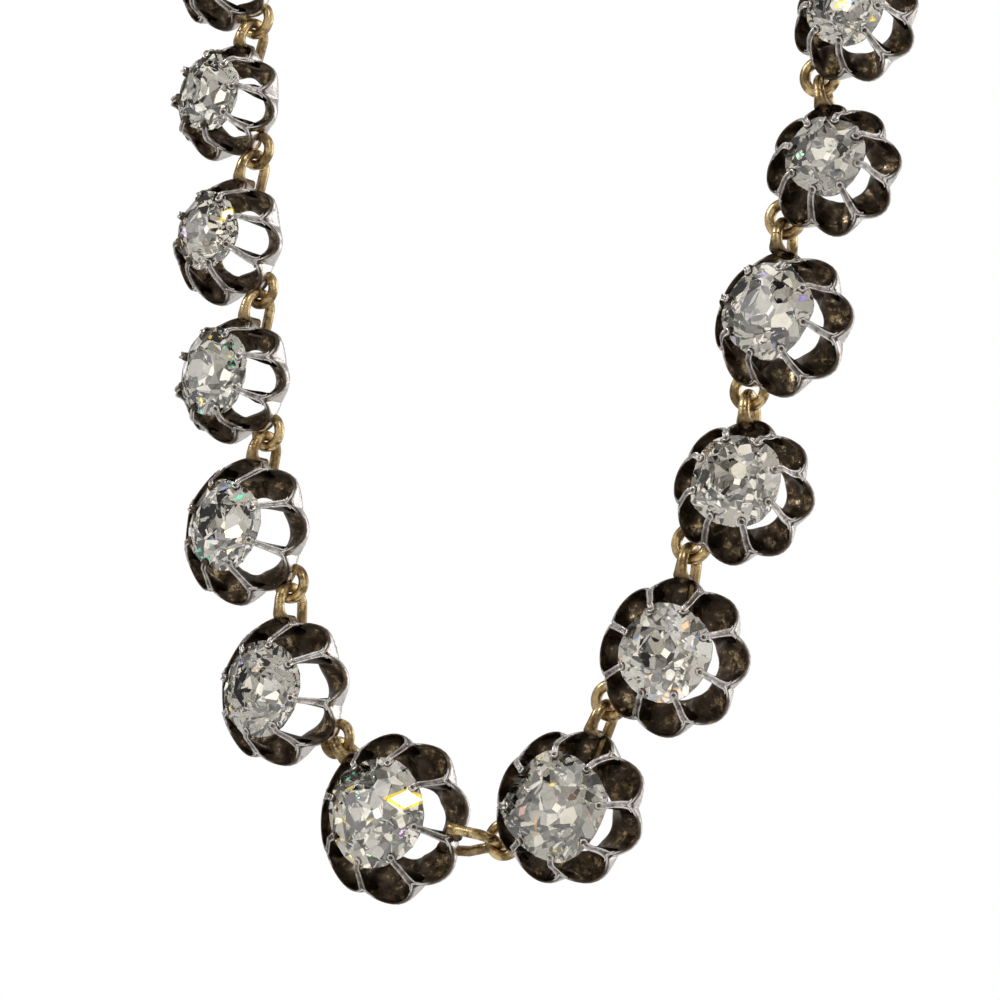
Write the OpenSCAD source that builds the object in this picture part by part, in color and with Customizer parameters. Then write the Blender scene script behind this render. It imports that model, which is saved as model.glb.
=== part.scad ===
// Riviere necklace: graduated old mine cut stones in cut down collets,
// joined by a round ring and an upright bail between each two collets.
// It hangs in the XZ plane and faces -Y. The origin is where the back of the
// loop hangs, at the inner edge of its top. Millimetres, +Z up.

/* [Stones] */
// Diameter of the centre stone across its girdle
centre_stone_d = 8.4; // [7:0.1:9.5]
// Diameter that the stones shrink towards at the clasp
back_stone_d = 4.6; // [4:0.1:5.5]
// How fast the stones shrink away from the centre
grading_power = 2.6; // [1.5:0.1:3.5]
// Table width as a share of the stone
table_share = 0.46; // [0.38:0.01:0.56]
// Slope of the crown facets in degrees
crown_slope = 37; // [30:1:42]
// Slope of the pavilion facets in degrees
pavilion_slope = 41; // [38:1:45]
// Culet width as a share of the stone
culet_share = 0.1; // [0.04:0.01:0.16]
// Thickness of the girdle
girdle_t = 0.22; // [0.12:0.01:0.35]
// How far the girdle bulges into a cushion outline, as a share of the radius
cushion_share = 0.05; // [0:0.01:0.1]

/* [Collets] */
// Number of petals and of claws round a collet
petal_count = 8; // [6:1:10]
// Radius of the petals as a share of the stone's radius
petal_share = 1.5; // [1.4:0.01:1.65]
// How far the claw roots stand inside the petals' edge
root_inset = 0.45; // [0.3:0.05:0.7]
// How far the petals' edge dips between two claws
petal_dip = 1.25; // [0.8:0.05:1.6]
// Depth of the petals' floor below the claw roots, halfway in
floor_dip = 1; // [0.8:0.05:1.2]
// Thickness of the petals' floor at the open back
floor_t = 0.7; // [0.5:0.05:1]
// Height of the collet from its base to the claw roots
collet_h = 3.35; // [2.8:0.05:3.8]
// Radius of the open back as a share of the petals' radius
back_share = 0.54; // [0.48:0.01:0.6]
// Radius of the base as a share of the petals' radius
base_share = 0.74; // [0.68:0.01:0.8]
// Width of a claw
claw_w = 0.42; // [0.3:0.02:0.6]
// Height of the stone's girdle above the claw roots
girdle_rise = 1.2; // [0.9:0.05:1.6]
// Reach of a claw over the edge of the stone
claw_reach = 0.42; // [0.3:0.02:0.6]
// Thickness of a claw over the stone
claw_t = 0.4; // [0.3:0.02:0.6]
// Gap between a stone and its collet
seat_gap = 0.06; // [0.04:0.01:0.1]

/* [Links] */
// Thickness of the gold wire
wire_d = 0.74; // [0.6:0.02:0.9]
// Outer diameter of a ring
ring_d = 3.1; // [2.9:0.02:3.6]
// How far a ring's centre stands outside the petals' edge
ring_out = 0.5; // [0.4:0.05:0.8]
// Depth of a ring below the claw roots
ring_depth = 2.1; // [1.9:0.05:2.4]
// Distance between a bail's two legs, wire centre to wire centre
bail_w = 2.8; // [2.6:0.05:3.2]
// Gap between two collets along the chain
link_gap = 2.1; // [2:0.05:3]
// Radius of a bail's bend above its foot
shoulder_r = 0.5; // [0.45:0.05:0.8]
// Play between a ring's wire and the bail in it
link_play = 0.14; // [0.1:0.02:0.3]

/* [Loop] */
// Slope of the strands away from upright where they leave the front, in degrees
strand_slope = 8; // [2:1:14]
// Length of the clasp's box
clasp_l = 10; // [8:0.5:14]
// Width of the clasp's box
clasp_w = 4.6; // [4:0.1:6]
// Thickness of the clasp's box
clasp_t = 2.6; // [2:0.1:3.5]

/* [Hidden] */
$fn = 48;
front_count = 6;
back_count = 12;
side_count = front_count + back_count;
right = 1;
left = -1;
front_ids = [for (k = [1:front_count]) k];
back_ids = [for (k = [front_count + 1:side_count]) k];

// The front of the chain, from the centre outward on each side.
// link: angle of the link from the station before, degrees from +X
// gap: what the link adds to link_gap, mm
// stone: what the stone adds to the graded diameter, share of it
// petal: what the petals add to petal_share
// roll: turn of the claws about the stone's axis, degrees
// yaw: turn of the face about the upright, degrees
// ring: turn of the ring away from the link, degrees
link = 0;
gap = 1;
stone = 2;
petal = 3;
roll = 4;
yaw = 5;
ring = 6;
front_right = [
    [-2, 1.7, 0.04, -0.12, 1, 6, 19],
    [48.5, 0.5, -0.02, 0.07, 15, 9, -23],
    [63.5, 0.2, -0.01, 0.03, 10, 12, -24],
    [76.5, -0.2, 0.08, -0.04, 23, 5, -18],
    [66.5, -0.3, -0.06, 0.09, 26, 14, -25],
    [80, -0.3, -0.02, 0.03, 37, 10, -28]
];
front_left = [
    [136, 0.6, -0.05, 0.02, 27, -3, 5],
    [106, 0.2, -0.03, 0.06, 17, -3, 26],
    [95.5, -0.3, 0, -0.1, 14, -6, 26],
    [94, -0.3, -0.06, 0.05, 12, -4, 28],
    [91, -0.1, -0.01, -0.07, 0, -2, 28],
    [91, -0.2, 0, 0, 20, -3, 28]
];
centre_row = [0, 0, 0, 0, 20, 3, 0];

// A station is named by its side and its number from the centre; the centre stone is number 0.
function front_row(side, k) =
    k == 0 ? centre_row : side == right ? front_right[k - 1] : front_left[k - 1];
function front_value(side, k, column) = k > front_count ? 0 : front_row(side, k)[column];
function graded_d(k) =
    back_stone_d + (centre_stone_d - back_stone_d) * pow(1 - k / (side_count + 1), grading_power);
function stone_d(side, k) = graded_d(k) * (1 + front_value(side, k, stone));
function petal_r(side, k) =
    stone_d(side, k) / 2 * (petal_share + front_value(side, k, petal));
function claw_roll(side, k) = front_value(side, k, roll);
function pitch(side, k) =
    petal_r(side, k - 1) + petal_r(side, k) + link_gap + front_value(side, k, gap);
function total(list) = len(list) == 0 ? 0 : list * [for (i = list) 1];

// Places of the front stations, in the plane of the loop, from the centre stone
function direction(angle) = [cos(angle), sin(angle)];
function walk(side) = [
    for (k = 0, at = [0, 0]; k <= front_count;
        k = k + 1, at = k > front_count ? at : at + pitch(side, k) * direction(front_value(side, k, link)))
    at
];
front_at = [walk(left), walk(right)];
function front_place(side, k) = front_at[side == right ? 1 : 0][k];

// The hidden strands run straight on and close in one round arch.
last_right = front_place(right, front_count);
last_left = front_place(left, front_count);
clasp_pitch = clasp_l / 2 + link_gap;
strand_length = total([for (side = [left, right], k = back_ids) pitch(side, k)])
    + 2 * clasp_pitch + petal_r(left, side_count) + petal_r(right, side_count);
arch_turn = PI + 2 * strand_slope * PI / 180;
half_gap = (last_right[0] - last_left[0] - (last_right[1] + last_left[1]) * tan(strand_slope)) / 2;
arch_start = (strand_length * cos(strand_slope) + last_right[1] + last_left[1] - half_gap * arch_turn)
    / (2 + arch_turn * tan(strand_slope));
arch_r = (half_gap + arch_start * tan(strand_slope)) / cos(strand_slope);
arch_x = (last_right[0] + last_left[0] + (last_left[1] - last_right[1]) * tan(strand_slope)) / 2;
arch_z = arch_start + arch_r * sin(strand_slope);
function straight(side) = (arch_start - front_place(side, front_count)[1]) / cos(strand_slope);
function arch_angle(side, s) = -strand_slope + (s - straight(side)) / arch_r * 180 / PI;
function strand_place(side, s) =
    s < straight(side)
        ? front_place(side, front_count) + s * [side * sin(strand_slope), cos(strand_slope)]
        : [arch_x + side * arch_r * cos(arch_angle(side, s)), arch_z + arch_r * sin(arch_angle(side, s))];
function strand_s(side, k) = total([for (i = back_ids) if (i <= k) pitch(side, i)]);
clasp_s = strand_s(right, side_count) + petal_r(right, side_count) + clasp_pitch;
clasp_at = strand_place(right, clasp_s);
clasp_before = strand_place(right, clasp_s - clasp_l / 2);
clasp_angle = atan2(clasp_at[1] - clasp_before[1], clasp_at[0] - clasp_before[0]);

// Every station's place, with the origin at the inner edge of the arch's top
hang_at = [arch_x, arch_z + arch_r - clasp_w / 2];
function plane_place(side, k) =
    (k <= front_count ? front_place(side, k) : strand_place(side, strand_s(side, k))) - hang_at;
function place(side, k) = [plane_place(side, k)[0], 0, plane_place(side, k)[1]];

// A station's own axes: X to the viewer's right, Y up, Z out of the face
function face_turn(side, k) = k <= front_count ? front_value(side, k, yaw)
    : front_value(side, front_count, yaw) * (side_count - k) / back_count;
function axes(turn) = [
    [cos(turn), 0, sin(turn)],
    [sin(turn), 0, -cos(turn)],
    [0, 1, 0]
];
function to_world(side, k, v) = place(side, k) + axes(face_turn(side, k)) * v;
function to_own(side, k, v) = (v - place(side, k)) * axes(face_turn(side, k));
module at_station(side, k) {
    m = axes(face_turn(side, k));
    p = place(side, k);
    multmatrix([for (i = [0:2]) [m[i][0], m[i][1], m[i][2], p[i]]]) children();
}

// Where each ring stands, and the point that the bail of the station before it reaches
wire_r = wire_d / 2;
wire_sides = 6;
bow_steps = 6;
front_columns = 4;
back_columns = 2;
girdle_sides = 32;
// The small facets: how much steeper or flatter than the main ones, in degrees, and the
// radius and height where their planes lie, as shares of the stone's radius
half_steeper = 9;
half_share = 0.985;
lower_steeper = 5;
star_flatter = 15;
star_share = 0.735;
star_rise = 0.165;
// A petal's inner slope starts at this share of the claw roots' radius, and its edge swells by this power
slope_share = 0.8;
swell_power = 0.7;
ring_r = ring_d / 2 - wire_r;
function back_angle(side, k) =
    atan2(plane_place(side, k - 1)[1] - plane_place(side, k)[1],
        plane_place(side, k - 1)[0] - plane_place(side, k)[0]);
function ring_angle(side, k) = back_angle(side, k) + front_value(side, k, ring);
function ring_own(side, k) =
    let (reach = petal_r(side, k) + ring_out, a = ring_angle(side, k))
    [reach * cos(a), reach * sin(a), -ring_depth];
function clasp_ring(side) =
    let (reach = clasp_l / 2 + ring_out, a = clasp_angle)
    [clasp_at[0] - hang_at[0] - side * reach * cos(a), ring_depth,
        clasp_at[1] - hang_at[1] - side * reach * sin(a)];
function next_ring(side, k) =
    k == side_count ? clasp_ring(side) : to_world(side, k + 1, ring_own(side, k + 1));
function unit(v) = v / norm(v);
function bail_end(side, k) =
    let (c = next_ring(side, k), back = unit([for (i = [0, 2]) place(side, k)[i] - c[i]]))
    let (reach = ring_r - wire_d - link_play)
    to_own(side, k, c + [back[0] * reach, 0, back[1] * reach]);

// The stone, with its girdle on the XY plane
function outline(r, sides) = [
    for (i = [0:sides - 1])
    let (a = 360 * i / sides)
    r * (1 - cushion_share * (1 - cos(4 * a)) / 2) * [cos(a), sin(a)]
];
module below(slope, turn, distance, size) {
    rotate([0, slope, turn]) translate([-size, -size, distance - 2 * size]) cube(2 * size);
}
// A tier of facets: slope from the table, count, first angle, and the radius where
// their planes meet the top or the bottom of the girdle
module tier(slope, count, first, r, z, size) {
    intersection_for (i = [0:count - 1])
        below(slope, first + 360 * i / count, r * sin(slope) + z * cos(slope), size);
}
module brilliant(d, halves) {
    r = d / 2;
    inner = r * (1 - cushion_share);
    crown_h = girdle_t / 2 + (inner - r * table_share) * tan(crown_slope);
    pavilion_h = girdle_t / 2 + (inner - r * culet_share) * tan(pavilion_slope);
    intersection() {
        translate([0, 0, -pavilion_h]) linear_extrude(pavilion_h + crown_h) polygon(outline(r, girdle_sides));
        tier(crown_slope, 8, 0, inner, girdle_t / 2, d);
        tier(180 - pavilion_slope, 8, 0, inner, -girdle_t / 2, d);
        if (halves) tier(crown_slope + half_steeper, 16, 11.25, r * half_share, girdle_t / 2, d);
        if (halves)
            tier(crown_slope - star_flatter, 8, 22.5, r * star_share, girdle_t / 2 + r * star_rise, d);
        if (halves) tier(180 - pavilion_slope - lower_steeper, 16, 11.25, r * half_share, -girdle_t / 2, d);
    }
}
module stone(side, k) {
    color("lightgray") at_station(side, k)
        translate([0, 0, girdle_rise]) rotate(claw_roll(side, k))
            brilliant(stone_d(side, k), k <= front_count);
}

// The collet: a ring of scooped petals whose edge dips between the claws.
// Each row of points runs once round, columns of them in each petal.
function swell(t) = pow(sin(180 * t), swell_power);
function petal_section(r, t) =
    let (b = swell(t), root = r - root_inset, base_r = r * base_share, back_r = r * back_share)
    [
        [back_r, -collet_h],
        [back_r, -collet_h + floor_t],
        [root * slope_share + b * root_inset, -floor_dip * (1 + b)],
        [root + b * root_inset, -b * petal_dip],
        [root + (1 + b) / 2 * root_inset, -petal_dip - (1 + b) * floor_t / 2],
        [base_r, -collet_h]
    ];
module petals(r, columns) {
    n = petal_count * columns;
    rows = len(petal_section(r, 0));
    points = [
        for (i = [0:n - 1], p = petal_section(r, (i % columns) / columns))
        [p[0] * cos(360 * i / n), p[0] * sin(360 * i / n), p[1]]
    ];
    faces = [
        for (i = [0:n - 1], j = [0:rows - 1], half = [0, 1])
        let (a = i * rows + j, b = i * rows + (j + 1) % rows, shift = ((i + 1) % n - i) * rows)
        half == 0 ? [a, a + shift, b + shift] : [a, b + shift, b]
    ];
    polyhedron(points, faces);
}
module claws(r, stone_r) {
    root = r - root_inset;
    crown = tan(crown_slope);
    seat = stone_r + seat_gap;
    lip = girdle_rise + girdle_t / 2 + seat_gap;
    for (i = [0:petal_count - 1])
        rotate([90, 0, 360 / petal_count * i]) linear_extrude(claw_w, center = true) polygon([
            [root + root_inset / 3, -petal_dip],
            [root + claw_t / 4, 0],
            [seat + claw_t, lip],
            [stone_r - claw_reach / 2, lip + claw_t + claw_reach * crown],
            [stone_r - claw_reach, lip + claw_t / 2 + claw_reach * crown],
            [stone_r - claw_reach, lip + claw_reach * crown],
            [seat, lip],
            [seat, girdle_rise - girdle_t / 2 - seat_gap],
            [seat - claw_t / 2, -claw_t],
            [r * back_share + claw_t, -collet_h + claw_t],
            [r * base_share, -collet_h + claw_t]
        ]);
}
module wire_ring() {
    rotate_extrude() translate([ring_r, 0]) circle(wire_r);
}
// A faceted wire along a route of [out, up] points in the XZ plane
function along(route, i) = unit(route[min(i + 1, len(route) - 1)] - route[max(i - 1, 0)]);
module wire(route, sides) {
    last = len(route) - 1;
    points = [
        for (i = [0:last], j = [0:sides - 1])
        let (t = along(route, i), a = 360 * j / sides)
        [route[i][0] - t[1] * wire_r * cos(a), wire_r * sin(a), route[i][1] + t[0] * wire_r * cos(a)]
    ];
    walls = [
        for (i = [0:last - 1], j = [0:sides - 1], half = [0, 1])
        let (a = i * sides + j, b = i * sides + (j + 1) % sides)
        half == 0 ? [a, b, b + sides] : [a, b + sides, a + sides]
    ];
    ends = [
        for (j = [1:sides - 2], end = [0, 1])
        let (a = last * sides)
        end == 0 ? [0, j + 1, j] : [a, a + j, a + j + 1]
    ];
    polyhedron(points, concat(walls, ends));
}
// An upright bow with one leg bent down into the petals' floor and one leg under the base.
// Its outermost point is at the end, in the station's own axes.
module bail(end, r) {
    reach = norm([end[0], end[1]]);
    bow_r = bail_w / 2;
    bow_x = reach - bow_r;
    foot = min(r - root_inset, bow_x - 1.5 * shoulder_r);
    bow = [for (i = [0:bow_steps]) [bow_x, 0] + bow_r * direction(90 - 180 * i / bow_steps)];
    rotate(atan2(end[1], end[0])) translate([0, 0, end[2]])
        wire(concat(
            [[foot, -floor_t / 2], [foot, bow_r - shoulder_r], [foot + shoulder_r, bow_r]],
            bow,
            [[r * base_share - wire_d, -bow_r]]
        ), wire_sides);
}
module collet(side, k) {
    r = petal_r(side, k);
    petals(r, k <= front_count ? front_columns : back_columns);
    claws(r, stone_d(side, k) / 2);
}
module setting(side, k) {
    color("dimgray") at_station(side, k) rotate(claw_roll(side, k)) collet(side, k);
    color("goldenrod") at_station(side, k) {
        if (k > 0) translate(ring_own(side, k)) wire_ring();
        bail(bail_end(side, k), petal_r(side, k));
        if (k == 0) bail(bail_end(left, k), petal_r(side, k));
    }
}
module settings_string(side) {
    for (k = back_ids) setting(side, k);
}
module stones_string(side) {
    for (k = back_ids) stone(side, k);
}
module clasp() {
    color("dimgray") translate([clasp_at[0] - hang_at[0], ring_depth, clasp_at[1] - hang_at[1]])
        rotate([90, -clasp_angle, 0]) {
            cube([clasp_l, clasp_w, clasp_t], center = true);
            for (s = [left, right]) translate([s * (clasp_l / 2 + ring_out), 0, 0]) wire_ring();
        }
}

setting(right, 0);  // centre_setting
stone(right, 0);  // centre_stone
for (k = front_ids) {
    setting(right, k);
    stone(right, k);
    setting(left, k);
    stone(left, k);
}
settings_string(right);  // right_back_settings
stones_string(right);  // right_back_stones
settings_string(left);  // left_back_settings
stones_string(left);  // left_back_stones
clasp();
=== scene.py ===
import math
import random
import bmesh
import bpy
import numpy as np
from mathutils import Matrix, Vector


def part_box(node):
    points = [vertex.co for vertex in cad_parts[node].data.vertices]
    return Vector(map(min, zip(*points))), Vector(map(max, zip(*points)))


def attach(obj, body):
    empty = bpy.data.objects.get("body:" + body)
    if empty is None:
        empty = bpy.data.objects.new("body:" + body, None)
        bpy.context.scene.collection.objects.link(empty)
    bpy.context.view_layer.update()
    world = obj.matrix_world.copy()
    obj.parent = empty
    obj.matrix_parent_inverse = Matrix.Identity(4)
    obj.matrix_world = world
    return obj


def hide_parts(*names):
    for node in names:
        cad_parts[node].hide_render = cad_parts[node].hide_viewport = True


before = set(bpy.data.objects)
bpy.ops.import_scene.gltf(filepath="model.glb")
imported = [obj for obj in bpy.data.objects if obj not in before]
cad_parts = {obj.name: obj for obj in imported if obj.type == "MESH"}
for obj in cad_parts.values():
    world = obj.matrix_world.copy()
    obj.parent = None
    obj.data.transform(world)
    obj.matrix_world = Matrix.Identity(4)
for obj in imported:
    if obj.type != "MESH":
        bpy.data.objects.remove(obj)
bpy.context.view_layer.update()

# Sizes are in millimetres until a mesh is made; the model is in metres.
mm = 0.001
frontCount = 6
backCount = 12
sides = {"right": 1, "left": -1}

camera = {
    "azimuth": 33.0, "elevation": -11.0, "distance": 310.0, "lens": 149.5, "sensor": 36.0, "picture": 1000,
    "aim": (-2.56, 0.0, -141.48),
}

# Shares and heights of a collet, its centre's shine, and sizes of its links, close to the solids'
collet = {
    "petals": 8, "petalShare": 1.5, "dip": 1.25, "height": 3.35, "backShare": 0.54, "baseShare": 0.74,
    "girdleRise": 1.2, "girdle": 0.22, "seatGap": 0.06, "clawReach": 0.42, "crownSlope": 37.0, "centreShine": 0.84,
}
links = {
    "wire": 0.405, "solidWire": 0.37, "ring": 1.18, "ringOut": 0.5, "ringDepth": 2.1, "bow": 1.4, "shoulder": 0.5,
    "play": 0.14, "sink": 0.12, "thinned": 0.58,
}

# Front stations from the centre outward: what the petals add to their share, the roll of
# the claws and the turn of the ring in degrees, then how far the petals lean right and up
# and how much wider and taller they splay than a true circle
stationTable = {
    ("right", 0): (0.0, 25, 0, 0.0, -0.18, 0.12, 0.13),
    ("right", 1): (-0.12, -3, 19, -0.05, 0.22, 0.38, 0.14),
    ("right", 2): (0.07, 15, -23, -0.3, 0.08, 0.08, 0.12),
    ("right", 3): (0.03, 10, -24, -0.24, -0.36, 0.0, 0.0),
    ("right", 4): (-0.04, 23, -18, 0.12, -0.4, 0.16, 0.14),
    ("right", 5): (0.09, 26, -25, -0.04, -0.34, 0.24, 0.16),
    ("right", 6): (0.03, 37, -28, -0.04, -0.3, 0.2, 0.15),
    ("left", 1): (0.02, 27, 5, 0.12, 0.15, 0.34, 0.12),
    ("left", 2): (0.06, 17, 26, 0.04, -0.08, 0.36, 0.18),
    ("left", 3): (-0.1, 14, 26, 0.0, -0.18, 0.36, 0.1),
    ("left", 4): (0.05, 12, 28, 0.0, -0.34, 0.32, 0.25),
    ("left", 5): (-0.07, 0, 28, 0.03, -0.16, 0.34, 0.28),
    ("left", 6): (0.0, 20, 28, 0.0, -0.2, 0.3, 0.2),
}

# How much wider than the shared size a collet's open back is and how far it lies right and up
openingTable = {
    ("right", 0): (-0.74, 1.0, -0.42),
    ("right", 1): (-0.6, 0.1, -0.35),
    ("right", 2): (-0.55, -0.15, -0.22),
    ("right", 3): (-0.46, -0.05, -0.25),
    ("right", 4): (-0.42, 0.0, -0.2),
    ("right", 5): (-0.5, 0.16, -0.16),
    ("right", 6): (-0.3, 0.0, 0.0),
    ("left", 1): (-0.12, 0.15, -0.2),
    ("left", 2): (-0.15, 0.15, -0.3),
    ("left", 3): (-0.15, 0.2, -0.2),
    ("left", 4): (-0.15, 0.2, -0.2),
    ("left", 5): (-0.15, 0.2, -0.2),
    ("left", 6): (-0.15, 0.2, -0.2),
}


# Stations, read from the stones in the frame

def looseParts(node):
    # Points of each loose solid of a node, in millimetres
    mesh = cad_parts[node].data
    points = np.array([v.co for v in mesh.vertices]) / mm
    keys = {}
    owner = list(range(len(points)))

    def root(i):
        while owner[i] != i:
            owner[i] = owner[owner[i]]
            i = owner[i]
        return i

    for i, p in enumerate(points):
        first = keys.setdefault(tuple(np.round(p, 3)), i)
        owner[root(i)] = root(first)
    for polygon in mesh.polygons:
        a = root(polygon.vertices[0])
        for b in polygon.vertices[1:]:
            owner[root(b)] = a
    groups = {}
    for i in range(len(points)):
        groups.setdefault(root(i), []).append(points[i])
    return [np.unique(np.round(g, 3), axis=0) for g in groups.values()]


def stationOf(points):
    # Place, turn and stone diameter of a station, from its stone's points
    best = None
    for turn in np.arange(-20, 20.01, 0.25):
        a = math.radians(turn)
        out = points @ np.array([math.sin(a), -math.cos(a), 0])
        spread = out.max() - np.sort(out)[-8:].mean()
        if best is None or spread < best[0]:
            best = (spread, turn)
    turn = math.radians(best[1])
    across = np.array([math.cos(turn), math.sin(turn), 0])
    outward = np.array([math.sin(turn), -math.cos(turn), 0])
    x, y, z = points @ across, points[:, 2], points @ outward
    cx, cy = (x.min() + x.max()) / 2, (y.min() + y.max()) / 2
    radius = np.hypot(x - cx, y - cy)
    girdle = z[radius > radius.max() * 0.97].mean()
    place = across * cx + np.array([0, 0, cy]) + outward * (girdle - collet["girdleRise"])
    return {"place": place, "turn": turn, "stone": 2 * radius.max()}


def readStations():
    stations = {}
    for side in sides:
        for k in range(frontCount + 1):
            node = "centre_stone" if k == 0 else f"{side}_stone_{k}"
            stations[side, k] = stationOf(looseParts(node)[0])
        last = stations[side, frontCount]["place"]
        back = [stationOf(p) for p in looseParts(f"{side}_back_stones")]
        for k in range(frontCount + 1, frontCount + backCount + 1):
            back.sort(key=lambda s: np.linalg.norm(s["place"] - last))
            stations[side, k] = back.pop(0)
            last = stations[side, k]["place"]
    for (side, k), s in stations.items():
        petal, roll, ring, *lean = stationTable.get((side, k) if k else ("right", 0), (0.0, 0, 0, 0, 0, 0, 0))
        s["lean"] = lean
        s["opening"] = openingTable.get((side, k), (0.0, 0.0, 0.0))
        s["petal"] = s["stone"] / 2 * (collet["petalShare"] + petal)
        s["roll"] = math.radians(roll)
        s["ringTurn"] = math.radians(ring)
        s["axes"] = np.array([
            [math.cos(s["turn"]), 0, math.sin(s["turn"])],
            [math.sin(s["turn"]), 0, -math.cos(s["turn"])],
            [0, 1, 0],
        ])
        s["front"] = k <= frontCount
        # Front collets on the left strand past the first, whose left-pointing claw tips get painted shade
        s["darkTips"] = side == "left" and 1 < k <= frontCount
        s["clawShine"] = collet["centreShine"] if k == 0 else 1.0
    return stations


def toWorld(s, v):
    return s["place"] + np.asarray(v) @ s["axes"].T


def toOwn(s, v):
    return (np.asarray(v) - s["place"]) @ s["axes"]


stations = readStations()
print("stations read", len(stations))


# Mesh building: parts are arrays of points, faces and brightness, joined into one piece

def spline(points, count, closed=False):
    # Count points along a smooth curve through the given ones
    p = np.asarray(points, float)
    n = len(p)
    spans = n if closed else n - 1
    out = []
    for s in np.linspace(0, spans, count, endpoint=not closed):
        i = min(int(s), spans - 1)
        t = s - i
        if closed:
            a, b, c, d = (p[(i + j) % n] for j in (-1, 0, 1, 2))
        else:
            a, b, c, d = p[max(i - 1, 0)], p[i], p[i + 1], p[min(i + 2, n - 1)]
        out.append(0.5 * (2 * b + (c - a) * t + (2 * a - 5 * b + 4 * c - d) * t * t
                          + (3 * b - a - 3 * c + d) * t ** 3))
    return np.array(out)


def grid(rows, closedRows, closedColumns):
    # Faces of a grid of points, rows by columns
    r, c = rows
    faces = []
    for i in range(r if closedRows else r - 1):
        for j in range(c if closedColumns else c - 1):
            a, b = i * c + j, i * c + (j + 1) % c
            d, e = (i + 1) % r * c + j, (i + 1) % r * c + (j + 1) % c
            faces.append((a, b, e, d))
    return faces


def tube(path, radius, count, closed=False):
    # A round tube along a path; radius is one value or one for each point
    p = np.asarray(path, float)
    n = len(p)
    radii = np.broadcast_to(np.asarray(radius, float), n)
    if closed:
        tangents = np.roll(p, -1, 0) - np.roll(p, 1, 0)
    else:
        tangents = np.gradient(p, axis=0)
    tangents /= np.linalg.norm(tangents, axis=1)[:, None]
    side = np.cross(tangents[0], [0.3, 0.5, 0.8])
    points = []
    for i in range(n):
        side = side - tangents[i] * (side @ tangents[i])
        side /= np.linalg.norm(side)
        up = np.cross(tangents[i], side)
        for j in range(count):
            a = 2 * math.pi * j / count
            points.append(p[i] + radii[i] * (math.cos(a) * side + math.sin(a) * up))
    faces = grid((n, count), closed, True)
    if not closed:
        faces.append(tuple(range(count))[::-1])
        faces.append(tuple(range((n - 1) * count, n * count)))
    return np.array(points), faces


class Piece:
    # Parts of one Blender object, in a station's own axes or the frame's, in millimetres

    def __init__(self, name):
        self.name = name
        self.points = []
        self.faces = []
        self.masks = []
        self.colours = []
        self.count = 0

    def add(self, points, faces, mask, station=None):
        points = np.asarray(points, float)
        if station is not None:
            points = toWorld(station, points)
        self.faces += [tuple(i + self.count for i in f) for f in faces]
        self.points.append(points)
        self.masks.append(np.broadcast_to(np.asarray(mask, float), len(points)))
        self.count += len(points)

    def paint(self, points, faces, colours, shade, station):
        # Facets of a stone also carry the colour of a painted flash, which glows, and how far it tints them; their
        # mask is the stone's painted shade
        self.add(points, faces, shade, station)
        self.colours += colours

    def finish(self, material, slot, replaces=(), smooth=True):
        mesh = bpy.data.meshes.new(self.name)
        mesh.from_pydata((np.concatenate(self.points) * mm).tolist(), [], self.faces)
        if self.colours:
            flash = mesh.color_attributes.new("flash", "FLOAT_COLOR", "POINT")
            flash.data.foreach_set("color", np.array(self.colours, np.float32).ravel())
        mask = mesh.attributes.new("bright", "FLOAT", "POINT")
        mask.data.foreach_set("value", np.concatenate(self.masks).astype(np.float32))
        mesh.polygons.foreach_set("use_smooth", [smooth] * len(mesh.polygons))
        mesh.materials.append(material)
        mesh.validate()
        mesh.update()
        piece = bpy.data.objects.new(self.name, mesh)
        bpy.context.scene.collection.objects.link(piece)
        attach(piece, "root")
        if replaces:
            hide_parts(*replaces)


# Collets

look = {
    "cuspInset": 0.74, "edgePower": 0.85, "floorPower": 0.5, "innerPower": 1.3, "rimRadius": 0.075,
    "openingOut": 0.22, "openingPinch": 0.03, "lip": 0.48, "gather": 0.75,
}
# A claw's half width along its line, the depth of the fin below it, the half width of the fin's foot,
# its raised edges, and its tip; tips on the left strand that point left get painted shade and are a little bigger,
# and claws that point to the lower left get painted shade
claw = {
    "along": [0, 0.16, 0.4, 1], "halfWidth": [0.52, 0.31, 0.26, 0.24],
    "finDepth": [0.16, 0.62, 1.5, 2.0, 1.7, 1.2, 0.3], "finFoot": [0.16, 0.36, 0.62, 0.3],
    "ridge": 0.08, "groove": 0.05, "tip": 0.32, "darkTip": 0.03, "tipShade": 0.35, "lowerLeftShade": 0.2,
}


def polar(r, angle, z):
    return np.stack([r * np.cos(angle), r * np.sin(angle), z], -1)


def rimAt(radius, phase):
    # Phase goes from one claw, 0, to the next, 1
    swell = np.abs(np.sin(math.pi * phase)) ** look["edgePower"]
    return radius - look["cuspInset"] * (1 - swell), -collet["dip"] * swell


def splay(points, s):
    # The petals lean and widen; the claws' tips stay at the stone
    points = np.asarray(points, float)
    right, high, wide, tall = s["lean"]
    r = np.hypot(points[:, 0], points[:, 1])
    t = np.clip((r - s["stone"] / 2 - 0.05) / (s["petal"] - s["stone"] / 2 - 0.9), 0, 1)
    t = t * t * (3 - 2 * t)
    shift = np.stack([right + wide * points[:, 0] / s["petal"], high + tall * points[:, 1] / s["petal"], 0 * t], -1)
    return points + shift * t[:, None]


def edgeAt(s, angle):
    # How far out the splayed rim lies in a direction
    angle = np.atleast_1d(angle)
    rimR, _ = rimAt(s["petal"], (angle - s["roll"]) * collet["petals"] / (2 * math.pi))
    rim = splay(polar(rimR, angle, 0 * angle), s)
    return np.hypot(rim[:, 0], rim[:, 1])


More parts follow.
